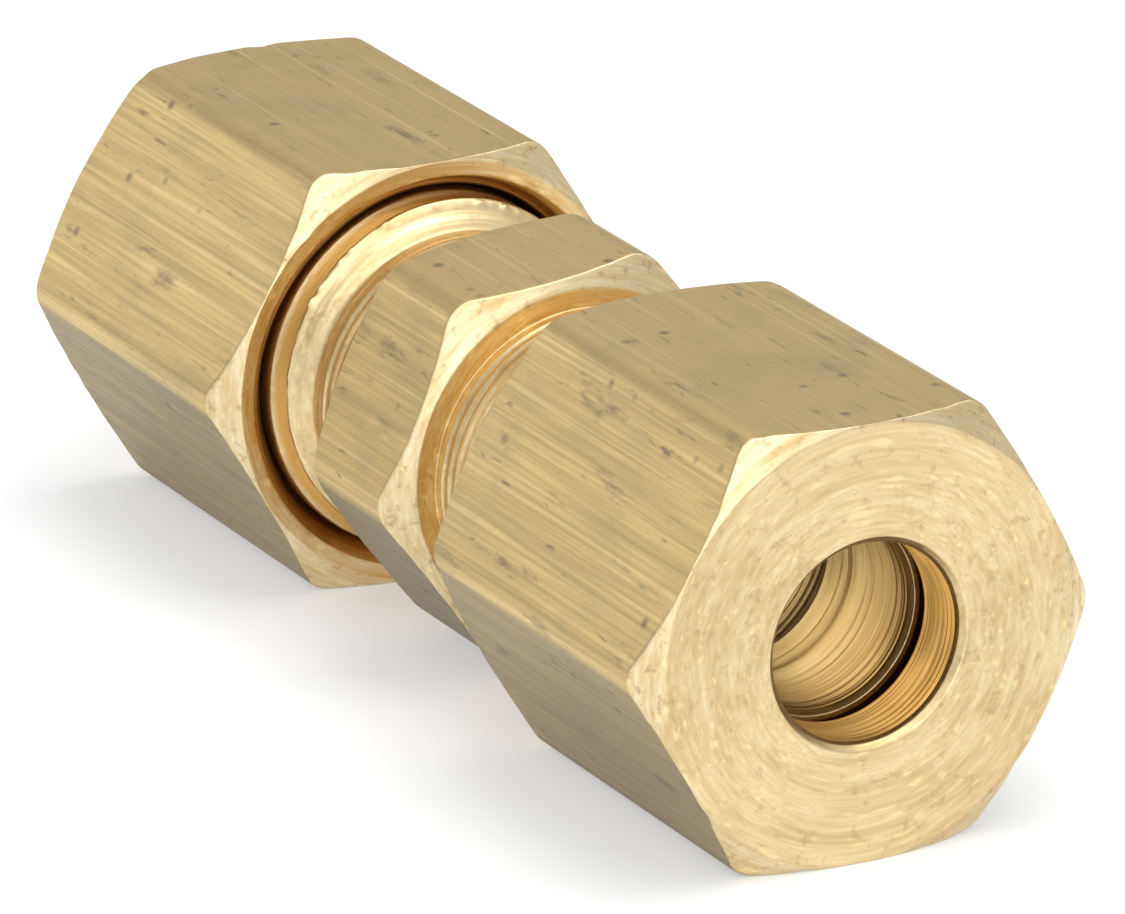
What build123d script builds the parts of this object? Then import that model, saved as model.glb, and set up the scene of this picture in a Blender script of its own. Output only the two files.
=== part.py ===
from build123d import *

import math
import os

# Straight compression union for two 6 mm tubes.
#
# Each end of the union body has an external thread and, inside it, a 24 degree cone that
# leads into a tube socket. A long hexagon nut on each end pushes a sleeve into the cone,
# which closes the sleeve on the tube. Both nuts are shown backed off, with their sleeves
# clear of the cones, and the left nut is screwed on a little further than the right one.
#
# Frame: the tube axis is +X, +Z is up, and the origin is the middle of the body's bore.
# Each end is modelled pointing along +Z and turned onto +X or -X at the end.
# Lengths are in millimetres, angles in degrees.

# Tube and bores
TUBE_DIAMETER = 6.0
SOCKET_RADIUS = TUBE_DIAMETER / 2 + 0.05
FLOW_BORE_RADIUS = 2.0

# Thread M12 x 1.5. The body has a ring groove for each turn, and the nut a bore at the
# thread's outer diameter, so that the nut clears the body wherever it is screwed to.
PITCH = 1.5
FLANK_SLOPE = math.tan(math.radians(30))
THREAD_CREST_RADIUS = 5.85
THREAD_ROOT_RADIUS = 5.18
THREAD_GROOVE_MOUTH = 0.88
NUT_THREAD_RADIUS = 6.05

# Union body
BODY_LENGTH = 24.0
BODY_ACROSS_FLATS = 12.0
BODY_HEX_WIDTH = 5.5
BODY_CORNER_ROUNDING = 1.2
BODY_CHAMFER_RADIUS = 5.65
BODY_CHAMFER_ANGLE = 30
BODY_ROLL = 6.5
NECK_RADIUS = 5.0
NECK_LENGTH = 2.7
THREAD_END_RADIUS = 4.9
THREAD_ENVELOPE_RADIUS = 6.0
SOCKET_DEPTH = 7.0
CONE_MOUTH_RADIUS = 4.05
CONE_HALF_ANGLE = 12

# Nuts
NUT_ACROSS_FLATS = 14.0
NUT_LENGTH = 13.3
NUT_CORNER_ROUNDING = 1.0
NUT_CHAMFER_RADIUS = 6.97
NUT_CHAMFER_ANGLE = 33
NUT_MOUTH_RADIUS = 6.5
NUT_THREAD_LENGTH = 7.8
NUT_RELIEF_RADIUS = 6.15
NUT_RELIEF_LENGTH = 1.0
NUT_CHAMBER_RADIUS = 4.6
NUT_HOLE_RADIUS = 3.15
NUT_HOLE_CHAMFER_RADIUS = 3.4
NUT_HOLE_CHAMFER_DEPTH = 0.3
NUT_LAND_DEPTH = 2.13

# Distance from the middle of the body to each nut's inner face, as shown
RIGHT_NUT_INNER_FACE = 7.47
LEFT_NUT_INNER_FACE = 6.59

# Sleeves. Depths are measured from the nut's outer face.
SLEEVE_BORE_RADIUS = SOCKET_RADIUS
SLEEVE_PLAY = 0.6
SLEEVE_REAR_DEPTH = NUT_LAND_DEPTH + SLEEVE_PLAY
SLEEVE_LENGTH = 5.0
SLEEVE_RADIUS = 4.35
SLEEVE_REAR_RADIUS = 3.35
SLEEVE_NOSE_RADIUS = 3.62
SLEEVE_NOSE_LENGTH = 1.55
SLEEVE_EDGE_BREAK = 0.1

TUBE_AXIS = Rotation(0, 90, 0)
OTHER_END = Rotation(0, 0, 180)


def revolved(outline):
    """Solid of revolution about Z from (radius, z) points that close on the axis."""
    points = [(0, outline[0][1])] + outline + [(0, outline[-1][1])]
    face = make_face(Polyline([(r, 0, z) for r, z in points], close=True))
    return revolve(face, Axis.Z)


def chamfered_hex(across_flats, rounding, z_low, z_high, chamfer_radius, chamfer_angle):
    """Hexagon bar along Z with rounded corners and a turned chamfer on both ends."""
    outline = RegularPolygon(across_flats / 2, 6, major_radius=False, rotation=30)
    outline = fillet(outline.vertices(), rounding)
    bar = Pos(0, 0, z_low) * extrude(outline, z_high - z_low)
    sharp_corner = across_flats / math.sqrt(3)
    drop = (sharp_corner - chamfer_radius) * math.tan(math.radians(chamfer_angle))
    turned = revolved(
        [
            (chamfer_radius, z_low),
            (sharp_corner, z_low + drop),
            (sharp_corner, z_high - drop),
            (chamfer_radius, z_high),
        ]
    )
    return bar & turned


def thread_rod(z_low, z_high):
    """Rod along Z with the thread's groove as rings, one for each turn of the thread."""
    depth = THREAD_CREST_RADIUS - THREAD_ROOT_RADIUS
    mouth = THREAD_GROOVE_MOUTH / 2
    bottom = mouth - depth * FLANK_SLOPE
    outline = [(THREAD_CREST_RADIUS, z_low)]
    for turn in range(math.ceil((z_high - z_low) / PITCH)):
        middle = z_low + (turn + 0.5) * PITCH
        outline += [
            (THREAD_CREST_RADIUS, middle - mouth),
            (THREAD_ROOT_RADIUS, middle - bottom),
            (THREAD_ROOT_RADIUS, middle + bottom),
            (THREAD_CREST_RADIUS, middle + mouth),
        ]
    outline.append((THREAD_CREST_RADIUS, outline[-1][1] + PITCH / 2 - mouth))
    return revolved(outline)


def body_end():
    """One threaded end of the body, from its middle to its tip, still solid inside."""
    tip = BODY_LENGTH / 2
    neck_end = BODY_HEX_WIDTH / 2 + NECK_LENGTH
    thread = thread_rod(neck_end, tip)
    envelope = revolved(
        [
            (NECK_RADIUS, neck_end),
            (THREAD_ENVELOPE_RADIUS, neck_end + THREAD_ENVELOPE_RADIUS - NECK_RADIUS),
            (THREAD_ENVELOPE_RADIUS, tip - THREAD_ENVELOPE_RADIUS + THREAD_END_RADIUS),
            (THREAD_END_RADIUS, tip),
        ]
    )
    neck = revolved([(NECK_RADIUS, 0), (NECK_RADIUS, neck_end)])
    return (thread & envelope) + neck


def socket():
    """Cone and tube socket of one end, as a cutting tool."""
    tip = BODY_LENGTH / 2
    cone_depth = (CONE_MOUTH_RADIUS - SOCKET_RADIUS) / math.tan(math.radians(CONE_HALF_ANGLE))
    return revolved(
        [
            (SOCKET_RADIUS, tip - SOCKET_DEPTH),
            (SOCKET_RADIUS, tip - cone_depth),
            (CONE_MOUTH_RADIUS, tip),
        ]
    )


def union_body():
    """Hexagon, two threaded ends, two sockets and the bore that joins them."""
    hexagon = chamfered_hex(
        BODY_ACROSS_FLATS,
        BODY_CORNER_ROUNDING,
        -BODY_HEX_WIDTH / 2,
        BODY_HEX_WIDTH / 2,
        BODY_CHAMFER_RADIUS,
        BODY_CHAMFER_ANGLE,
    )
    hexagon = TUBE_AXIS * (Rotation(0, 0, BODY_ROLL) * hexagon)
    right_end = TUBE_AXIS * body_end()
    right_socket = TUBE_AXIS * socket()
    bore = TUBE_AXIS * Cylinder(FLOW_BORE_RADIUS, BODY_LENGTH)
    solid = hexagon + right_end + OTHER_END * right_end
    return solid - right_socket - OTHER_END * right_socket - bore


def nut(inner_face):
    """Nut whose inner face stands inner_face from the middle of the body, along +Z."""
    outer_face = inner_face + NUT_LENGTH
    land_end = outer_face - NUT_LAND_DEPTH
    cone_rise = NUT_CHAMBER_RADIUS - NUT_HOLE_RADIUS
    relief_end = inner_face + NUT_THREAD_LENGTH + NUT_RELIEF_LENGTH / 2
    countersink = NUT_MOUTH_RADIUS - NUT_THREAD_RADIUS
    blank = chamfered_hex(
        NUT_ACROSS_FLATS,
        NUT_CORNER_ROUNDING,
        inner_face,
        outer_face,
        NUT_CHAMFER_RADIUS,
        NUT_CHAMFER_ANGLE,
    )
    bored = revolved(
        [
            (NUT_MOUTH_RADIUS, inner_face),
            (NUT_THREAD_RADIUS, inner_face + countersink),
            (NUT_THREAD_RADIUS, relief_end - NUT_RELIEF_LENGTH),
            (NUT_RELIEF_RADIUS, relief_end - NUT_RELIEF_LENGTH),
            (NUT_RELIEF_RADIUS, relief_end),
            (NUT_CHAMBER_RADIUS, relief_end),
            (NUT_CHAMBER_RADIUS, land_end - cone_rise),
            (NUT_HOLE_RADIUS, land_end),
            (NUT_HOLE_RADIUS, outer_face - NUT_HOLE_CHAMFER_DEPTH),
            (NUT_HOLE_CHAMFER_RADIUS, outer_face),
        ]
    )
    return blank - bored


def sleeve(nut_inner_face):
    """Sleeve in its place inside a nut: rear shoulder, barrel and conical nose."""
    rear = nut_inner_face + NUT_LENGTH - SLEEVE_REAR_DEPTH
    front = rear - SLEEVE_LENGTH
    nose_rise = SLEEVE_NOSE_LENGTH * math.tan(math.radians(CONE_HALF_ANGLE))
    nose_end = front + SLEEVE_NOSE_LENGTH
    barrel_start = nose_end + SLEEVE_RADIUS - SLEEVE_NOSE_RADIUS - nose_rise
    barrel_end = rear - (SLEEVE_RADIUS - SLEEVE_REAR_RADIUS)
    outside = revolved(
        [
            (SLEEVE_NOSE_RADIUS - SLEEVE_EDGE_BREAK, front),
            (SLEEVE_NOSE_RADIUS, front + SLEEVE_EDGE_BREAK),
            (SLEEVE_NOSE_RADIUS + nose_rise, nose_end),
            (SLEEVE_RADIUS, barrel_start),
            (SLEEVE_RADIUS, barrel_end),
            (SLEEVE_REAR_RADIUS, rear),
        ]
    )
    bore = Pos(0, 0, (front + rear) / 2) * Cylinder(SLEEVE_BORE_RADIUS, SLEEVE_LENGTH)
    return outside - bore


def write(name, shape):
    """Write one node, and print its volume as a check."""
    solids = shape.solids()
    part = solids[0] if len(solids) == 1 else Compound(children=list(solids))
    part.label = name
    export_step(part, f"parts/{name}.step")
    print(f"{name}: {len(solids)} solid, {part.volume:.1f} mm3")


os.makedirs("parts", exist_ok=True)
write("union_body", union_body())
for side, turn, inner_face in (
    ("right", TUBE_AXIS, RIGHT_NUT_INNER_FACE),
    ("left", OTHER_END * TUBE_AXIS, LEFT_NUT_INNER_FACE),
):
    write(f"{side}_nut", turn * nut(inner_face))
    write(f"{side}_sleeve", turn * sleeve(inner_face))
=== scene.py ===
import math

import bmesh
import bpy
import numpy as np
from mathutils import Matrix, Vector


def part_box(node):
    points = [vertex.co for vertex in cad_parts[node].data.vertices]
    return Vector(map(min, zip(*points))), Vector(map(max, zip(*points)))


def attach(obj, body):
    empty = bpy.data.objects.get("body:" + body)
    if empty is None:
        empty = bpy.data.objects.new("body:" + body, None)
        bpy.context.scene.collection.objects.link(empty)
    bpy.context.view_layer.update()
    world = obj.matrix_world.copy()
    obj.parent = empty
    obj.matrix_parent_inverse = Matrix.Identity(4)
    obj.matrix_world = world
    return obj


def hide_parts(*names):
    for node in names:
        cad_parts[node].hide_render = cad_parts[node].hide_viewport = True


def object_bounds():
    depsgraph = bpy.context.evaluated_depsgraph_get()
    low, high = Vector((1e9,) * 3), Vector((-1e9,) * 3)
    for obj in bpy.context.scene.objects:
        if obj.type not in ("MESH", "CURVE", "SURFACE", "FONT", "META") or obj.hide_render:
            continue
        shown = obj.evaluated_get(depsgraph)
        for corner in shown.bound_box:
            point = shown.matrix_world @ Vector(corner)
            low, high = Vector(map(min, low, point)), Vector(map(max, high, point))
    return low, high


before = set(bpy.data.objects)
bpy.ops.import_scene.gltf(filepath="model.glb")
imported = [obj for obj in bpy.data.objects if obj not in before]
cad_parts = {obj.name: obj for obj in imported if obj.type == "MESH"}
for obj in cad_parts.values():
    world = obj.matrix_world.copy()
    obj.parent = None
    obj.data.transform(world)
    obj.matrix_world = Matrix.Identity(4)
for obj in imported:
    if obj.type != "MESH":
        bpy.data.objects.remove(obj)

# Looks of the brass compression union. The tube axis is X and +Z is up. The CAD nodes give
# every place and outside size. Each node is replaced by a finer mesh of the same shape, with
# eased edges, tool marks and cut threads. Shapes are worked out in millimetres.

MM = 0.001
cad_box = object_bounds()


def span(node, axis):
    """Lowest and highest coordinate of a CAD node along an axis, in millimetres."""
    low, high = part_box(node)
    return low[axis] / MM, high[axis] / MM


# Nut and body sizes that their boxes don't show
NUT_ACROSS_FLATS = span("right_nut", 2)[1] - span("right_nut", 2)[0]
NUT_CORNER_ROUNDING = 1.0
NUT_CHAMFER_RADIUS = 6.97
NUT_CHAMFER_ANGLE = 33
NUT_MOUTH_RADIUS = 6.5
NUT_THREAD_LENGTH = 7.3
NUT_RELIEF_LENGTH = 1.0
NUT_RELIEF_RADIUS = 6.15
NUT_CHAMBER_RADIUS = 4.6
NUT_HOLE_RADIUS = 3.15
NUT_HOLE_CHAMFER_RADIUS = 3.4
NUT_HOLE_CHAMFER_DEPTH = 0.3
NUT_LAND_DEPTH = 2.13
BODY_TIP = span("union_body", 0)[1]
BODY_ACROSS_FLATS = 12.0
BODY_HEX_HALF_WIDTH = 2.75
BODY_CORNER_ROUNDING = 1.2
BODY_CHAMFER_RADIUS = 5.65
BODY_CHAMFER_ANGLE = 30
BODY_ROLL = 6.5
NECK_RADIUS = 5.0
NECK_END = 5.45
THREAD_FULL_FROM = 6.33
THREAD_CREST_RADIUS = 5.85
THREAD_END_RADIUS = 4.9
CONE_MOUTH_RADIUS = 4.05
CONE_ANGLE = 12
SOCKET_RADIUS = 3.05
SOCKET_STOP = 5.0
FLOW_BORE_RADIUS = 2.0
SLEEVE_NOSE_RADIUS = 3.62
SLEEVE_NOSE_LENGTH = 1.55
SLEEVE_REAR_RADIUS = 3.35
SLEEVE_LEAD_IN = 0.25
SLEEVE_REAR = span("right_sleeve", 0)[1]
# Reach of the painted shade along a sleeve's bore, from its rear end
REAR_SHADE_REACH = 3.0
PITCH = 1.5

# Thread profiles: half widths along the axis from the middle of the body's groove, and radii
MALE_THREAD = [(0, 5.18), (0.05, 5.18), (0.40, 5.80), (0.48, 5.85), (0.75, 5.85)]
FEMALE_THREAD = [(0, 5.40), (0.06, 5.40), (0.44, 6.05), (0.75, 6.05)]

# Columns round the axis
FLAT_STEPS = 32
CORNER_STEPS = 11
ROUND_STEPS = 288

# Rows along the outside, from one end of each surface to the other
NUT_FLAT_ROWS = 40
NUT_CHAMFER_ROWS = 7
NUT_FACE_ROWS = 44
BODY_FLAT_ROWS = 18
BODY_CHAMFER_ROWS = 6
NECK_ROWS = 28
LEAD_ROWS = 17

# Tool marks, as geometry: grooves in the bores, whose ramps face the opening and pass the
# light back out, and rings on the necks and on the nuts' outer faces
GROOVE_PITCH = 0.075
GROOVE_DEPTH = 0.13
GROOVE_DEPTH_SHARES = (0.85, 1.0)
GROOVE_PLACES = (0.25, 0.75)
GROOVE_RAMP = (0.04, 0.96)
WALL_ENDS = (0.003, 0.997)
CONE_GROOVE_LENGTH = 1.8
SLEEVE_FIRST_DEPTH = 0.35
FULL_DEPTH_AFTER = 0.3
RING_PITCH = 0.44
RING_DEPTH = 0.02
FACE_RING_DEPTH = 0.004

# Burr left where each thread starts
BURR_RADIUS = 5.68
BURR_WIDTH = 0.06
BURR_HEIGHT = 0.09
BURR_GAIN = 1.4
BURR_MOST = 1.6

# Wear: dents along the edges, and the unevenness of the outside
DENT_SIZES = (0.16, 0.34)
DENT_DEPTHS = (0.02, 0.07)
EDGE_DENTS = 22
EDGE_BAND = 0.9
BODY_DENTS = 24
UNEVENNESS = 0.008

# Deeper grooves on a neck: distance from the hexagon, depth and width
NECK_GROOVES = [(0.5, 0.07, 0.08), (0.95, 0.05, 0.06), (1.9, 0.05, 0.05)]

# Reach of the rounded edges: inside ones, faces, turned and worn ones, and a sleeve's
INSIDE_EDGE = 0.03
FACE_EDGE = 0.04
TURNED_EDGE = 0.05
WORN_EDGE = 0.06
BARREL_EDGE = 0.08
NOSE_EDGE = 0.1

# Rounded edges: the outer rows stand this many times further off than the inner ones, and
# the inner ones reach at most this share of the way to the next corner
EASE_RATIO = 2.5
EASE_SHARE = 0.08
SHORTEST = 1e-9

# Vertices closer than this are joined, in metres
WELD = 2e-7


# ---------------------------------------------------------------- shapes

def hex_angles(across_flats, rounding, roll):
    """Angles from +Z towards -Y, dense on the rounded corners, and the hexagon's radius there."""
    apothem = across_flats / 2
    reach = (apothem - rounding) * math.tan(math.pi / 6)
    half = math.atan2(reach, apothem)
    flat = np.arctan(np.linspace(-reach, reach, FLAT_STEPS + 1) / apothem)
    corner = np.linspace(half, math.pi / 3 - half, CORNER_STEPS + 1)[1:-1]
    sector = np.concatenate([flat, corner])
    centre = (apothem - rounding) / math.cos(math.pi / 6)
    off_corner = corner - math.pi / 6
    corner_radius = centre * np.cos(off_corner) + np.sqrt(
        rounding ** 2 - (centre * np.sin(off_corner)) ** 2
    )
    radius = np.concatenate([apothem / np.cos(flat), corner_radius])
    turns = np.arange(6) * math.pi / 3 + math.radians(roll)
    angles = (turns[:, None] + sector[None, :]).ravel()
    radii = np.tile(radius, 6)
    return np.append(angles, angles[0] + 2 * math.pi), np.append(radii, radii[0])


def round_angles():
    return np.linspace(0, 2 * math.pi, ROUND_STEPS + 1)


class Outline:
    """Rows of (x, radius) round the axis. Each row lists one point for every angle."""

    def __init__(self, angles):
        self.angles = angles
        self.corners = []
        self.rows = []
        self.bands = []

    def corner(self, x, radius, ease, fill, material):
        """A corner of the profile, and the extra rows and the material from it to the next."""
        shape = self.angles.shape
        point = np.stack([np.broadcast_to(value, shape).astype(float) for value in (x, radius)])
        self.corners.append((point, ease, fill, material))

    def flush(self):
        """Turns the corners since the last flush into rows, with small rounded edges."""
        last = len(self.corners) - 1
        for k, (point, ease, fill, material) in enumerate(self.corners):
            before = self.corners[k - 1][0] if k else None
            after, ease_after = self.corners[k + 1][:2] if k < last else (None, 0)
            material_before = self.bands[-1] if self.bands else material
            self._edge(before, point, after, ease, material_before, material)
            if after is not None:
                reach = self._reach(point, after, ease if k else 0)
                reach_after = self._reach(point, after, ease_after if k + 1 < last else 0)
                start = EASE_RATIO * reach
                end = 1 - EASE_RATIO * reach_after
                for step in range(1, fill + 1):
                    s = start + (end - start) * step / (fill + 1)
                    self._row(point + (after - point) * s, material)
        self.corners = []

    def _reach(self, point, other, ease):
        """How far a rounded edge reaches towards the next corner, as a share of the way there."""
        gap = np.maximum(np.hypot(*(other - point)), SHORTEST)
        return np.minimum(ease / gap, EASE_SHARE)

    def _edge(self, before, point, after, ease, material_before, material):
        """The rows of one rounded edge, or the bare corner at either end of the profile."""
        if before is None or after is None:
            self._row(point, material)
            return
        start = (before - point) * self._reach(point, before, ease)
        end = (after - point) * self._reach(point, after, ease)
        self._row(point + start * EASE_RATIO, material_before)
        self._row(point + start, material_before)
        self._row(point + (start + end) / 4, material)
        self._row(point + end, material)
        self._row(point + end * EASE_RATIO, material)

    def _row(self, row, material):
        self.rows.append(row)
        self.bands.append(material)

    def grooves(self, start, end, facing, seed, material, first_depth=1):
        """Ramps on a bored wall that widen towards facing. The first are a share as deep."""
        random = np.random.default_rng(seed)
        (x_start, r_start), (x_end, r_end) = start, end
        count = round(abs(x_end - x_start) / GROOVE_PITCH)
        marks = (np.arange(count) + random.uniform(*GROOVE_PLACES, count)) / count
        marks = np.concatenate([WALL_ENDS[:1], marks, WALL_ENDS[1:]])
        widening = np.sign(x_end - x_start) == facing
        for near, far in zip(marks[:-1], marks[1:]):
            share = min(1, first_depth + near / FULL_DEPTH_AFTER)
            deep = GROOVE_DEPTH * random.uniform(*GROOVE_DEPTH_SHARES) * share
            rises = (0, deep) if widening else (deep, 0)
            for step, rise in zip(GROOVE_RAMP, rises):
                s = near + (far - near) * step
                x = x_start + (x_end - x_start) * s
                radius = r_start + (r_end - r_start) * s + rise
                row = np.stack([np.full(self.angles.shape, value) for value in (x, radius)])
                self._row(row, material)

    def thread_radius(self, x, profile, limit):
        """Radius of the threaded surface at a place along the axis, for every angle."""
        turns = (self.angles - math.pi) / (2 * math.pi)
        off = np.abs((x / PITCH - turns + 0.5) % 1 - 0.5) * PITCH
        return limit(x, np.interp(off, *zip(*profile)))

    def lead(self, start, end, profile, limit, count, material):
        """Rows at fixed places along the start of a thread."""
        for x in np.linspace(start, end, count):
            place = np.full(self.angles.shape, x)
            self._row(np.stack([place, self.thread_radius(place, profile, limit)]), material)

    def thread(self, start, end, profile, limit, material, backwards=False):
        """Rows that follow the helix, clamped to the planes at both ends of the thread."""
        halves = [half for half, _ in profile]
        phases = sorted({-h for h in halves[:-1]} | set(halves))
        turns = (self.angles - math.pi) / (2 * math.pi)
        first = math.floor(start / PITCH - turns.max()) - 1
        last = math.ceil(end / PITCH - turns.min()) + 1
        rows = []
        for turn in range(first, last + 1):
            for phase in phases:
                x = np.clip((turns + turn) * PITCH + phase, start, end)
                rows.append(np.stack([x, self.thread_radius(x, profile, limit)]))
        for row in reversed(rows) if backwards else rows:
            self._row(row, material)


def weld_mesh(name, outline, bump, body, node, materials, turned_round=False):
    """Skins an outline's rows into a closed mesh, which rides on a body in place of a CAD node."""
    rows = np.array(outline.rows)
    x, radius = rows[:, 0], rows[:, 1]
    angles = np.broadcast_to(outline.angles, x.shape)
    inset, rise = bump(x, radius, angles)
    x = x - inset
    radius = radius + rise
    co = np.stack([x, -radius * np.sin(angles), radius * np.cos(angles)], -1)
    if turned_round:
        co = co * np.array([-1, -1, 1])
    count, columns = x.shape
    grid = np.arange(count * columns).reshape(count, columns)
    after = np.roll(grid, -1, axis=0)
    quads = np.stack([grid[:, :-1], grid[:, 1:], after[:, 1:], after[:, :-1]], -1).reshape(-1, 4)
    mesh = bpy.data.meshes.new(name)
    mesh.from_pydata((co.reshape(-1, 3) * MM).tolist(), [], quads.tolist())
    for material in materials:
        mesh.materials.append(material)
    mesh.polygons.foreach_set("material_index", np.repeat(outline.bands, columns - 1))
    edit = bmesh.new()
    edit.from_mesh(mesh)
    bmesh.ops.remove_doubles(edit, verts=edit.verts, dist=WELD)
    bmesh.ops.dissolve_degenerate(edit, edges=edit.edges, dist=WELD)
    edit.to_mesh(mesh)
    edit.free()
    finish = np.zeros(len(mesh.polygons), dtype=np.int32)
    mesh.polygons.foreach_get("material_index", finish)
    mesh.polygons.foreach_set("use_smooth", (finish != GROOVED) & (finish != LAND))
    piece = bpy.data.objects.new(name, mesh)
    bpy.context.scene.collection.objects.link(piece)
    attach(piece, body)
    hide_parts(node)
    return piece


# Places of the finishes in each mesh's list of materials
DRAWN, TURNED, BORED, GROOVED, THREADED, LAND, SHOULDER, CHAMFER, SOCKET = range(9)


def ripple(random, where, lowest, highest, waves=9):
    """Smooth uneven line: sines of random whole frequencies and phases, mostly within 1 of 0."""
    total = 0
    for frequency in random.integers(lowest, highest, waves):
        total = total + np.sin(where * frequency + random.uniform(0, 2 * math.pi))
    return total / math.sqrt(2 * waves)


def dents(random, x, angles, radius, count, low, high):
    """Depth of small round dents, scattered between two planes."""
    depth = 0
    for _ in range(count):
        off_x = x - random.uniform(low, high)
        off_angle = (angles - random.uniform(0, 2 * math.pi) + math.pi) % (2 * math.pi) - math.pi
        size = random.uniform(*DENT_SIZES)
        away = (off_x ** 2 + (off_angle * radius) ** 2) / size ** 2
        depth = depth + random.uniform(*DENT_DEPTHS) * np.exp(-away)
    return depth


def nut_wear(seed, inner, outer):
    """Rings left by facing, and dents along the edges of both chamfers."""
    def bump(x, radius, angles):
        random = np.random.default_rng(seed)
        on_face = (x > outer - 0.01) & (radius > NUT_HOLE_CHAMFER_RADIUS + 0.1)
        on_face &= radius < NUT_CHAMFER_RADIUS - 0.1
        rings = FACE_RING_DEPTH * (1 + ripple(random, radius, 20, 70)) * on_face
        outside = radius > NUT_CHAMFER_RADIUS - 0.1
        wear = dents(random, x, angles, radius, EDGE_DENTS, inner, inner + EDGE_BAND)
        wear = wear + dents(random, x, angles, radius, EDGE_DENTS, outer - EDGE_BAND, outer)
        wear = wear + UNEVENNESS * (1 + ripple(random, angles, 7, 40))
        return rings, -wear * outside
    return bump


def body_wear(seed):
    """Turning rings on both necks, a burr where each thread starts, and a dented hexagon."""
    def bump(x, radius, angles):
        random = np.random.default_rng(seed)
        from_hexagon = np.abs(x) - BODY_HEX_HALF_WIDTH
        on_neck = (from_hexagon > 0.05) & (np.abs(x) < THREAD_FULL_FROM)
        on_neck &= radius < THREAD_CREST_RADIUS
        rings = RING_DEPTH * ripple(random, x * 2 * math.pi / RING_PITCH, 1, 4, waves=5)
        for middle, depth, width in NECK_GROOVES:
            rings = rings - depth * np.exp(-((from_hexagon - middle) / width) ** 2)
        ragged = np.clip(BURR_GAIN * ripple(random, angles, 9, 90, waves=14), 0, BURR_MOST)
        burr = BURR_HEIGHT * ragged * np.exp(-((radius - BURR_RADIUS) / BURR_WIDTH) ** 2)
        outside = (from_hexagon <= 0.01) & (radius > BODY_CHAMFER_RADIUS - 0.1)
        half_width = BODY_HEX_HALF_WIDTH
        wear = dents(random, x, angles, radius, BODY_DENTS, -half_width, half_width)
        wear = wear + UNEVENNESS * (1 + ripple(random, angles, 7, 40))
        return 0, (rings + burr) * on_neck - wear * outside
    return bump


def smooth(x, radius, angles):
    """No wear: neither an inset along the axis nor a rise of the radius."""
    return 0, 0


def nut_outline(inner, outer):
    """Profile of a nut whose outer face looks along +X."""
    angles, hexagon = hex_angles(NUT_ACROSS_FLATS, NUT_CORNER_ROUNDING, 0)
    drop = (hexagon - NUT_CHAMFER_RADIUS) * math.tan(math.radians(NUT_CHAMFER_ANGLE))
    land_end = outer - NUT_LAND_DEPTH
    chamber_end = land_end - NUT_CHAMBER_RADIUS + NUT_HOLE_RADIUS
    thread_end = inner + NUT_THREAD_LENGTH
    relief_end = thread_end + NUT_RELIEF_LENGTH
    nut = Outline(angles)
    nut.corner(inner, NUT_MOUTH_RADIUS, INSIDE_EDGE, 4, SHOULDER)
    nut.corner(inner, NUT_CHAMFER_RADIUS, TURNED_EDGE, NUT_CHAMFER_ROWS, CHAMFER)
    nut.corner(inner + drop, hexagon, WORN_EDGE, NUT_FLAT_ROWS, DRAWN)
    nut.corner(outer - drop, hexagon, WORN_EDGE, NUT_CHAMFER_ROWS, CHAMFER)
    nut.corner(outer, NUT_CHAMFER_RADIUS, WORN_EDGE, NUT_FACE_ROWS, TURNED)
    nut.corner(outer, NUT_HOLE_CHAMFER_RADIUS, FACE_EDGE, 1, TURNED)
    nut.corner(outer - NUT_HOLE_CHAMFER_DEPTH, NUT_HOLE_RADIUS, 0, 0, LAND)
    nut.flush()
    nut.grooves(
        (outer - NUT_HOLE_CHAMFER_DEPTH, NUT_HOLE_RADIUS),
        (land_end, NUT_HOLE_RADIUS),
        facing=1,
        seed=11,
        material=LAND,
    )
    nut.corner(land_end, NUT_HOLE_RADIUS, FACE_EDGE, 2, BORED)
    nut.corner(chamber_end, NUT_CHAMBER_RADIUS, INSIDE_EDGE, 1, BORED)
    nut.corner(relief_end, NUT_CHAMBER_RADIUS, INSIDE_EDGE, 1, BORED)
    nut.corner(relief_end, NUT_RELIEF_RADIUS, INSIDE_EDGE, 1, BORED)
    nut.corner(thread_end, NUT_RELIEF_RADIUS, INSIDE_EDGE, 0, BORED)
    nut.flush()
    nut.thread(
        inner,
        thread_end,
        FEMALE_THREAD,
        lambda x, radius: np.maximum(radius, NUT_MOUTH_RADIUS - (x - inner)),
        BORED,
        backwards=True,
    )
    return nut


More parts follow.
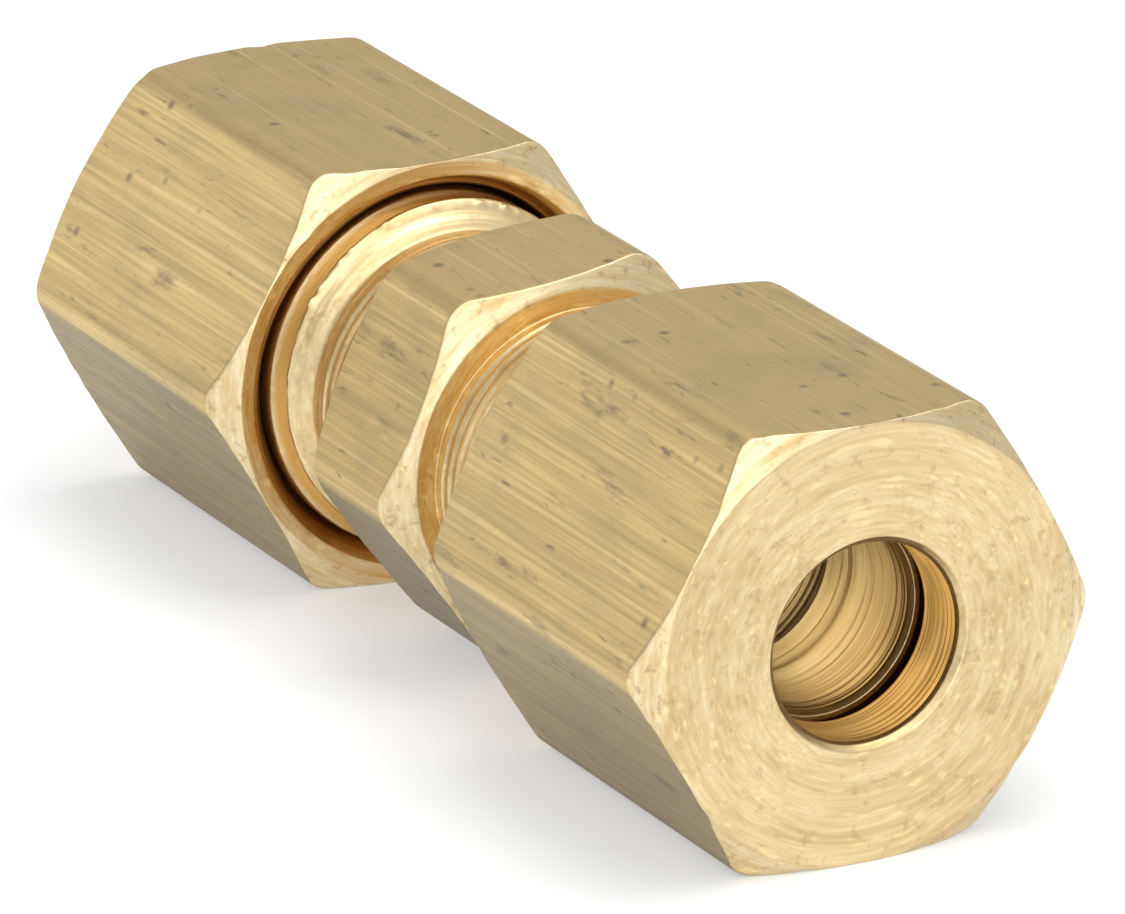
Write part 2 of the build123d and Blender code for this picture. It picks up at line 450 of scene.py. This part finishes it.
def body_outline():
    """Profile of the union body, from its left tip to its right tip and back through the bore."""
    angles, hexagon = hex_angles(BODY_ACROSS_FLATS, BODY_CORNER_ROUNDING, BODY_ROLL)
    drop = (hexagon - BODY_CHAMFER_RADIUS) * math.tan(math.radians(BODY_CHAMFER_ANGLE))
    side = BODY_HEX_HALF_WIDTH
    cone_slope = math.tan(math.radians(CONE_ANGLE))
    cone_end = BODY_TIP - (CONE_MOUTH_RADIUS - SOCKET_RADIUS) / cone_slope
    groove_end = BODY_TIP - CONE_GROOVE_LENGTH
    groove_end_radius = CONE_MOUTH_RADIUS - CONE_GROOVE_LENGTH * cone_slope
    mouth = (BODY_TIP, CONE_MOUTH_RADIUS)
    left_mouth = (-BODY_TIP, CONE_MOUTH_RADIUS)

    def limit(x, radius):
        lead = NECK_RADIUS + np.abs(x) - NECK_END
        tip = THREAD_END_RADIUS + BODY_TIP - np.abs(x)
        return np.minimum(radius, np.minimum(lead, tip))

    body = Outline(angles)
    body.thread(-BODY_TIP, -THREAD_FULL_FROM, MALE_THREAD, limit, THREADED)
    body.lead(-THREAD_FULL_FROM, -NECK_END, MALE_THREAD, limit, LEAD_ROWS, THREADED)
    body.corner(-NECK_END, NECK_RADIUS, INSIDE_EDGE, NECK_ROWS, TURNED)
    body.corner(-side, NECK_RADIUS, TURNED_EDGE, 4, SHOULDER)
    body.corner(-side, BODY_CHAMFER_RADIUS, TURNED_EDGE, BODY_CHAMFER_ROWS, CHAMFER)
    body.corner(-side + drop, hexagon, WORN_EDGE, BODY_FLAT_ROWS, DRAWN)
    body.corner(side - drop, hexagon, WORN_EDGE, BODY_CHAMFER_ROWS, CHAMFER)
    body.corner(side, BODY_CHAMFER_RADIUS, TURNED_EDGE, 4, SHOULDER)
    body.corner(side, NECK_RADIUS, TURNED_EDGE, NECK_ROWS, TURNED)
    body.corner(NECK_END, NECK_RADIUS, INSIDE_EDGE, 0, TURNED)
    body.flush()
    body.lead(NECK_END, THREAD_FULL_FROM, MALE_THREAD, limit, LEAD_ROWS, THREADED)
    body.thread(THREAD_FULL_FROM, BODY_TIP, MALE_THREAD, limit, THREADED)
    body.corner(BODY_TIP, THREAD_END_RADIUS, FACE_EDGE, 3, BORED)
    body.corner(*mouth, FACE_EDGE, 0, GROOVED)
    body.flush()
    body.grooves(mouth, (groove_end, groove_end_radius), facing=1, seed=21, material=GROOVED)
    body.corner(groove_end, groove_end_radius, 0, 4, SOCKET)
    body.corner(cone_end, SOCKET_RADIUS, INSIDE_EDGE, 3, SOCKET)
    body.corner(SOCKET_STOP, SOCKET_RADIUS, INSIDE_EDGE, 2, BORED)
    body.corner(SOCKET_STOP, FLOW_BORE_RADIUS, INSIDE_EDGE, 6, BORED)
    body.corner(-SOCKET_STOP, FLOW_BORE_RADIUS, INSIDE_EDGE, 2, BORED)
    body.corner(-SOCKET_STOP, SOCKET_RADIUS, INSIDE_EDGE, 3, SOCKET)
    body.corner(-cone_end, SOCKET_RADIUS, INSIDE_EDGE, 4, SOCKET)
    body.corner(-groove_end, groove_end_radius, 0, 0, GROOVED)
    body.flush()
    body.grooves((-groove_end, groove_end_radius), left_mouth, facing=-1, seed=22, material=GROOVED)
    body.corner(*left_mouth, FACE_EDGE, 3, BORED)
    body.corner(-BODY_TIP, THREAD_END_RADIUS, FACE_EDGE, 0, TURNED)
    body.flush()
    return body


def sleeve_outline(front, rear, radius):
    """Profile of a sleeve whose nose points along -X."""
    rise = SLEEVE_NOSE_LENGTH * math.tan(math.radians(CONE_ANGLE))
    nose_end = front + SLEEVE_NOSE_LENGTH
    barrel_start = nose_end + radius - SLEEVE_NOSE_RADIUS - rise
    barrel_end = rear - radius + SLEEVE_REAR_RADIUS
    sleeve = Outline(round_angles())
    sleeve.corner(front, SOCKET_RADIUS, 0, 1, TURNED)
    sleeve.corner(front, SLEEVE_NOSE_RADIUS, NOSE_EDGE, 4, TURNED)
    sleeve.corner(nose_end, SLEEVE_NOSE_RADIUS + rise, TURNED_EDGE, 2, TURNED)
    sleeve.corner(barrel_start, radius, BARREL_EDGE, 6, TURNED)
    sleeve.corner(barrel_end, radius, BARREL_EDGE, 4, TURNED)
    sleeve.corner(rear, SLEEVE_REAR_RADIUS, INSIDE_EDGE, 1, TURNED)
    sleeve.corner(rear, SOCKET_RADIUS + SLEEVE_LEAD_IN / 2, INSIDE_EDGE, 1, TURNED)
    sleeve.corner(rear - SLEEVE_LEAD_IN, SOCKET_RADIUS, 0, 0, GROOVED)
    sleeve.flush()
    sleeve.grooves(
        (rear - SLEEVE_LEAD_IN, SOCKET_RADIUS),
        (front, SOCKET_RADIUS),
        facing=1,
        seed=31,
        material=GROOVED,
        first_depth=SLEEVE_FIRST_DEPTH,
    )
    return sleeve


# ---------------------------------------------------------------- materials

def add(tree, kind, inputs=None, **settings):
    """Adds a shader node, sets its properties, and fills its inputs with values or links."""
    new = tree.nodes.new(kind)
    for name, value in settings.items():
        setattr(new, name, value)
    for key, value in (inputs or {}).items():
        if isinstance(value, bpy.types.NodeSocket):
            tree.links.new(value, new.inputs[key])
        else:
            new.inputs[key].default_value = value
    return new


def calc(tree, operation, *values):
    return add(tree, "ShaderNodeMath", dict(enumerate(values)), operation=operation).outputs[0]


def vector(tree, x, y, z):
    return add(tree, "ShaderNodeCombineXYZ", {0: x, 1: y, 2: z}).outputs[0]


def noise(tree, where, scale, detail=3.0, roughness=0.55, **inputs):
    settings = {"Vector": where, "Scale": scale, "Detail": detail, "Roughness": roughness}
    dimensions = "4D" if "W" in inputs else "3D"
    settings.update(inputs)
    return add(tree, "ShaderNodeTexNoise", settings, noise_dimensions=dimensions).outputs["Fac"]


def rescale(tree, value, low, high, to_low=0.0, to_high=1.0):
    inputs = {0: value, 1: low, 2: high, 3: to_low, 4: to_high}
    return add(tree, "ShaderNodeMapRange", inputs).outputs[0]


def blend_colour(tree, factor, first, second):
    """Mixes two colours, each an RGBA tuple or a socket."""
    mixed = add(tree, "ShaderNodeMix", data_type="RGBA")
    for key, value in ((0, factor), (6, first), (7, second)):
        if isinstance(value, bpy.types.NodeSocket):
            tree.links.new(value, mixed.inputs[key])
        else:
            mixed.inputs[key].default_value = value
    return mixed.outputs[2]


def lay(tree, under, over, pattern, low, high, amount=1.0):
    """Lays one colour over another where a pattern passes from low to high."""
    return blend_colour(tree, rescale(tree, pattern, low, high, 0.0, amount), under, over)


def place(tree):
    """Object coordinates in millimetres: the vector, and x, y, z apart."""
    coordinates = add(tree, "ShaderNodeTexCoord").outputs["Object"]
    scaled = add(tree, "ShaderNodeVectorMath", {0: coordinates, "Scale": 1 / MM}, operation="SCALE")
    split = add(tree, "ShaderNodeSeparateXYZ", {0: scaled.outputs[0]})
    return scaled.outputs[0], split.outputs[0], split.outputs[1], split.outputs[2]


def finish_brass(tree, colour, roughness, height, depth, grooves, anisotropy):
    """The brass shader: colour, roughness, surface height, and the direction of its grooves."""
    bump = add(tree, "ShaderNodeBump", {"Height": height, "Strength": 1.0, "Distance": depth * MM})
    shader = add(
        tree,
        "ShaderNodeBsdfPrincipled",
        {
            "Base Color": colour,
            "Roughness": roughness,
            "Normal": bump.outputs[0],
            "Metallic": 1.0,
            "Anisotropic": anisotropy,
            "Tangent": grooves,
        },
    )
    add(tree, "ShaderNodeOutputMaterial", {"Surface": shader.outputs[0]})


def new_material(name):
    material = bpy.data.materials.new(name)
    material.use_nodes = True
    material.node_tree.nodes.clear()
    return material, material.node_tree


def specks(tree, where, scale, size):
    """1 in small round spots, of which a random half is left out, and 0 elsewhere.

    The product turns each cell's random colour into one number, which decides if it is kept.
    """
    cells = add(tree, "ShaderNodeTexVoronoi", {"Vector": where, "Scale": scale, "Randomness": 1.0})
    chance = calc(tree, "MULTIPLY", cells.outputs["Color"], 1.0)
    kept = rescale(tree, chance, 0.55, 0.6)
    spot = rescale(tree, cells.outputs["Distance"], size * 1.6, size * 0.6)
    return calc(tree, "MULTIPLY", spot, kept)


# Reflection colours of brass, clean and stained, and a grey painted shade for faces that look down
GOLD = (0.70, 0.51, 0.22, 1)
TAN = (0.52, 0.39, 0.18, 1)
OLIVE = (0.42, 0.34, 0.18, 1)
GLINT = (0.98, 0.80, 0.42, 1)
SMUDGE = (0.19, 0.14, 0.10, 1)
# Painted shade: the grey laid on faces that look down
UNDERSIDE_SHADE = (0.14, 0.125, 0.095, 1)
CREAM = (0.85, 0.70, 0.42, 1)
STRAW = (0.66, 0.49, 0.24, 1)
BORE_GOLD = (0.98, 0.72, 0.30, 1)
BORE_TAN = (0.84, 0.57, 0.21, 1)
PALE = (0.86, 0.74, 0.49, 1)
AMBER = (0.66, 0.38, 0.11, 1)
DEEP_AMBER = (0.40, 0.22, 0.055, 1)
STAIN = (0.40, 0.24, 0.10, 1)

# How far the drawn brass's noise is squeezed along the bar, so that it makes lines and dashes
LINE_SQUEEZE = 0.015
BAND_SQUEEZE = 0.07
DASH_SQUEEZE = 0.22


def drawn_brass():
    """Bar stock as drawn: lengthwise lines, olive clouds of tarnished brass, dark smudges, and
    painted shade that greys the faces looking down.
    """
    material, tree = new_material("drawn_brass")
    where, x, y, z = place(tree)
    fine_where = vector(tree, calc(tree, "MULTIPLY", x, LINE_SQUEEZE), y, z)
    long_where = vector(tree, calc(tree, "MULTIPLY", x, BAND_SQUEEZE), y, z)
    dash_where = vector(tree, calc(tree, "MULTIPLY", x, DASH_SQUEEZE), y, z)
    fine = noise(tree, fine_where, 8.0, 2.0, 0.6)
    wide = noise(tree, long_where, 1.5, 3.0)
    glint = noise(tree, fine_where, 4.0, 1.0)
    cloud = noise(tree, where, 0.3, 3.0, 0.6)
    smudge = noise(tree, dash_where, 1.3, 5.0, 0.65)
    dash = noise(tree, dash_where, 3.4, 2.0)
    grain = noise(tree, where, 9.0, 1.0)
    tone = calc(tree, "ADD", calc(tree, "MULTIPLY", wide, 0.4), calc(tree, "MULTIPLY", fine, 0.6))
    colour = lay(tree, TAN, GOLD, tone, 0.36, 0.64)
    colour = lay(tree, colour, TAN, grain, 0.35, 0.75, 0.35)
    colour = lay(tree, colour, OLIVE, cloud, 0.50, 0.72, 0.45)
    colour = lay(tree, colour, GLINT, glint, 0.60, 0.74, 0.25)
    colour = lay(tree, colour, SMUDGE, smudge, 0.60, 0.74, 0.75)
    colour = lay(tree, colour, SMUDGE, dash, 0.67, 0.76, 0.65)
    pits = calc(tree, "MULTIPLY", specks(tree, where, 0.75, 0.11), 0.7)
    colour = blend_colour(tree, pits, colour, SMUDGE)
    faces = add(tree, "ShaderNodeNewGeometry").outputs["Normal"]
    turned_to = add(
        tree,
        "ShaderNodeVectorTransform",
        {0: faces},
        convert_from="WORLD",
        convert_to="OBJECT",
    )
    up = add(tree, "ShaderNodeSeparateXYZ", {0: turned_to.outputs[0]}).outputs[2]
    # Painted shade: faces that look down turn grey, more so the more they face the floor, in place
    # of the shade under the object
    colour = lay(tree, colour, UNDERSIDE_SHADE, up, -0.25, -0.6, 0.74)
    roughness = rescale(tree, tone, 0.35, 0.65, 0.46, 0.36)
    along = vector(tree, 1.0, 0.0, 0.0)
    lines = calc(tree, "MULTIPLY", fine, 0.7)
    height = calc(tree, "ADD", lines, calc(tree, "MULTIPLY", dash, -0.5))
    finish_brass(tree, colour, roughness, height, 0.010, along, 0.5)
    return material


def from_axis(tree, y, z):
    """Distance from the tube axis, and the sine and cosine of the angle round it."""
    squares = calc(tree, "ADD", calc(tree, "MULTIPLY", y, y), calc(tree, "MULTIPLY", z, z))
    radius = calc(tree, "POWER", squares, 0.5)
    return radius, calc(tree, "DIVIDE", y, radius), calc(tree, "DIVIDE", z, radius)


def rings_noise(tree, x, radius, sine, cosine, scale, detail, drift):
    """Noise that changes across the tool marks, and only slowly along them."""
    around = calc(tree, "MULTIPLY", sine, drift)
    return noise(
        tree,
        vector(tree, x, radius, around),
        scale,
        detail,
        0.6,
        W=calc(tree, "MULTIPLY", cosine, drift * scale),
    )


def cut_below_rod(tree, x, radius):
    """1 in the thread's groove, and 0 on its crests and on the slope where it starts."""
    slope = calc(tree, "ADD", calc(tree, "ABSOLUTE", x), NECK_RADIUS - NECK_END)
    rod = calc(tree, "MINIMUM", slope, THREAD_CREST_RADIUS)
    return rescale(tree, calc(tree, "SUBTRACT", rod, radius), 0.06, 0.22)


def turned_brass(name, light, dark, groove_colour=None, stained=0.4):
    """Turned brass: rings round the axis, arcs of glint, and small brown stains."""
    material, tree = new_material(name)
    where, x, y, z = place(tree)
    radius, sine, cosine = from_axis(tree, y, z)
    fine = rings_noise(tree, x, radius, sine, cosine, 9.0, 1.0, 0.16)
    bands = rings_noise(tree, x, radius, sine, cosine, 3.2, 3.0, 0.4)
    arcs = rings_noise(tree, x, radius, sine, cosine, 4.0, 1.0, 0.9)
    stain = noise(tree, where, 2.0, 3.0, 0.65)
    freckle = noise(tree, where, 7.0, 2.0, 0.6)
    grain = noise(tree, where, 10.0, 1.0)
    tone = calc(tree, "ADD", calc(tree, "MULTIPLY", bands, 0.6), calc(tree, "MULTIPLY", fine, 0.4))
    colour = lay(tree, light, dark, tone, 0.36, 0.64)
    colour = lay(tree, colour, GOLD, grain, 0.4, 0.75, 0.3)
    colour = lay(tree, colour, GLINT, arcs, 0.60, 0.72, 0.6)
    colour = lay(tree, colour, STAIN, stain, 0.57, 0.72, stained)
    colour = lay(tree, colour, STAIN, freckle, 0.70, 0.78, 0.55)
    if groove_colour:
        colour = blend_colour(tree, cut_below_rod(tree, x, radius), colour, groove_colour)
    roughness = rescale(tree, bands, 0.3, 0.7, 0.36, 0.46)
    grooves = add(tree, "ShaderNodeTangent", direction_type="RADIAL", axis="X").outputs[0]
    finish_brass(tree, colour, roughness, fine, 0.007, grooves, 0.6)
    return material


def bored_brass(name, light, dark, roughness, depth, rear_shade=0.0):
    """Inside walls: rings of tool marks, brown traces, and painted shade that darkens a sleeve's
    bore towards its rear end, behind the nut's land.
    """
    material, tree = new_material(name)
    where, x, y, z = place(tree)
    radius, sine, cosine = from_axis(tree, y, z)
    fine = rings_noise(tree, x, radius, sine, cosine, 5.0, 1.0, 0.1)
    bands = rings_noise(tree, x, radius, sine, cosine, 1.8, 2.0, 0.4)
    traces = rings_noise(tree, x, radius, sine, cosine, 3.5, 3.0, 0.5)
    colour = lay(tree, light, dark, bands, 0.35, 0.65)
    colour = lay(tree, colour, STAIN, traces, 0.62, 0.74, 0.35)
    # Painted shade: deep amber laid on more strongly towards a sleeve's rear end, in place of the
    # shade behind the nut's land
    from_middle = calc(tree, "ABSOLUTE", x)
    start = SLEEVE_REAR - REAR_SHADE_REACH
    colour = lay(tree, colour, DEEP_AMBER, from_middle, start, SLEEVE_REAR, rear_shade)
    grooves = add(tree, "ShaderNodeTangent", direction_type="RADIAL", axis="X").outputs[0]
    finish_brass(tree, colour, roughness, fine, depth, grooves, 0.4)
    return material


def floor_material():
    """Pale backlit sheet, so that shadows on it stay light."""
    material, tree = new_material("studio_floor")
    where = add(tree, "ShaderNodeTexCoord").outputs["Object"]
    grain = noise(tree, where, 900.0, 3.0)
    colour = blend_colour(tree, grain, *FLOOR_GREYS)
    shader = add(
        tree,
        "ShaderNodeBsdfPrincipled",
        {
            "Base Color": colour,
            "Roughness": 0.8,
            "Emission Color": (1, 1, 1, 1),
            "Emission Strength": FLOOR_GLOW,
        },
    )
    add(tree, "ShaderNodeOutputMaterial", {"Surface": shader.outputs[0]})
    return material


# ---------------------------------------------------------------- studio

CAMERA_AZIMUTH = 61.07
CAMERA_ELEVATION = 20.0
CAMERA_ROLL = 0.575
CAMERA_TARGET = (1.78, 0, -0.20)
CAMERA_DISTANCE = 343.7
CAMERA_LENS = 352.7
SENSOR_WIDTH = 36.0
FLOOR_SIDE = 1600.0
FLOOR_GREYS = [(0.56, 0.56, 0.56, 1), (0.6, 0.6, 0.6, 1)]
FLOOR_GLOW = 0.42
WORLD_RADIANCE = 0.62
BOUNCES = 16


def direction(azimuth, elevation):
    """Unit vector away from the object, at an azimuth in degrees from -Y towards +X."""
    around, up = math.radians(azimuth), math.radians(elevation)
    flat = math.cos(up)
    return Vector((math.sin(around) * flat, -math.cos(around) * flat, math.sin(up)))


def make_camera():
    data = bpy.data.cameras.new("camera")
    data.lens = CAMERA_LENS
    data.sensor_width = SENSOR_WIDTH
    data.clip_start = 0.01
    camera = bpy.data.objects.new("camera", data)
    back = direction(CAMERA_AZIMUTH, CAMERA_ELEVATION)
    right = Vector((0, 0, 1)).cross(back).normalized()
    up = back.cross(right)
    roll = Matrix.Rotation(math.radians(CAMERA_ROLL), 3, "Z")
    turn = Matrix((right, up, back)).transposed() @ roll
    camera.matrix_world = turn.to_4x4()
    camera.location = (Vector(CAMERA_TARGET) + CAMERA_DISTANCE * back) * MM
    bpy.context.scene.collection.objects.link(camera)
    bpy.context.scene.camera = camera


def softbox(name, towards, distance, width, height, radiance):
    """A rectangular lamp that faces the object. Lengths are in millimetres."""
    data = bpy.data.lights.new(name, "AREA")
    data.shape = "RECTANGLE"
    data.size = width * MM
    data.size_y = height * MM
    data.energy = radiance * math.pi * data.size * data.size_y
    lamp = bpy.data.objects.new(name, data)
    lamp.location = towards * distance * MM
    lamp.rotation_euler = towards.to_track_quat("Z", "Y").to_euler()
    bpy.context.scene.collection.objects.link(lamp)


def make_studio():
    world = bpy.data.worlds.new("studio")
    world.use_nodes = True
    background = world.node_tree.nodes["Background"]
    background.inputs["Color"].default_value = (1.0, 1.0, 1.0, 1)
    background.inputs["Strength"].default_value = WORLD_RADIANCE
    bpy.context.scene.world = world
    softbox("overhead", direction(150, 80), distance=320, width=260, height=240, radiance=3.0)
    softbox("key", direction(72, 42), distance=380, width=380, height=170, radiance=1.7)
    softbox("front", direction(74, 14), distance=420, width=230, height=180, radiance=2.1)
    softbox("rear_left", direction(-58, 18), distance=400, width=260, height=160, radiance=0.85)
    scene = bpy.context.scene
    scene.cycles.max_bounces = BOUNCES
    scene.cycles.glossy_bounces = BOUNCES
    scene.view_settings.view_transform = "Standard"


def make_floor():
    bottom = cad_box[0][2]
    edit = bmesh.new()
    bmesh.ops.create_grid(edit, x_segments=8, y_segments=8, size=FLOOR_SIDE * MM / 2)
    mesh = bpy.data.meshes.new("floor")
    edit.to_mesh(mesh)
    edit.free()
    mesh.materials.append(floor_material())
    floor = bpy.data.objects.new("floor", mesh)
    floor.location.z = bottom
    bpy.context.scene.collection.objects.link(floor)


# ---------------------------------------------------------------- the object

make_camera()
make_studio()
make_floor()

# In the order of DRAWN, TURNED and the others
finishes = [
    drawn_brass(),
    turned_brass("turned_brass", CREAM, STRAW),
    bored_brass("bored_brass", AMBER, DEEP_AMBER, roughness=0.42, depth=0.006),
    # Sleeve bores and the body's cone grooves, with painted shade towards each sleeve's rear
    bored_brass("grooved_brass", BORE_GOLD, BORE_TAN, roughness=0.42, depth=0.002, rear_shade=0.9),
    turned_brass("thread_brass", CREAM, STRAW, groove_colour=AMBER),
    bored_brass("land_brass", AMBER, DEEP_AMBER, roughness=0.36, depth=0.002),
    turned_brass("shoulder_brass", CREAM, AMBER),
    turned_brass("chamfer_brass", PALE, STRAW, stained=0.75),
    bored_brass("socket_brass", BORE_GOLD, BORE_TAN, roughness=0.42, depth=0.006),
]

for side, turned_round, seed in (("right", False, 1), ("left", True, 2)):
    inner, outer = sorted(abs(end) for end in span(f"{side}_nut", 0))
    weld_mesh(
        f"{side}_nut_detail",
        nut_outline(inner, outer),
        nut_wear(seed, inner, outer),
        body=f"{side}_nut_body",
        node=f"{side}_nut",
        materials=finishes,
        turned_round=turned_round,
    )
    front, rear = sorted(abs(end) for end in span(f"{side}_sleeve", 0))
    weld_mesh(
        f"{side}_sleeve_detail",
        sleeve_outline(front, rear, span(f"{side}_sleeve", 2)[1]),
        smooth,
        body=f"{side}_sleeve_body",
        node=f"{side}_sleeve",
        materials=finishes,
        turned_round=turned_round,
    )
weld_mesh(
    "union_body_detail",
    body_outline(),
    body_wear(3),
    body="body",
    node="union_body",
    materials=finishes,
)
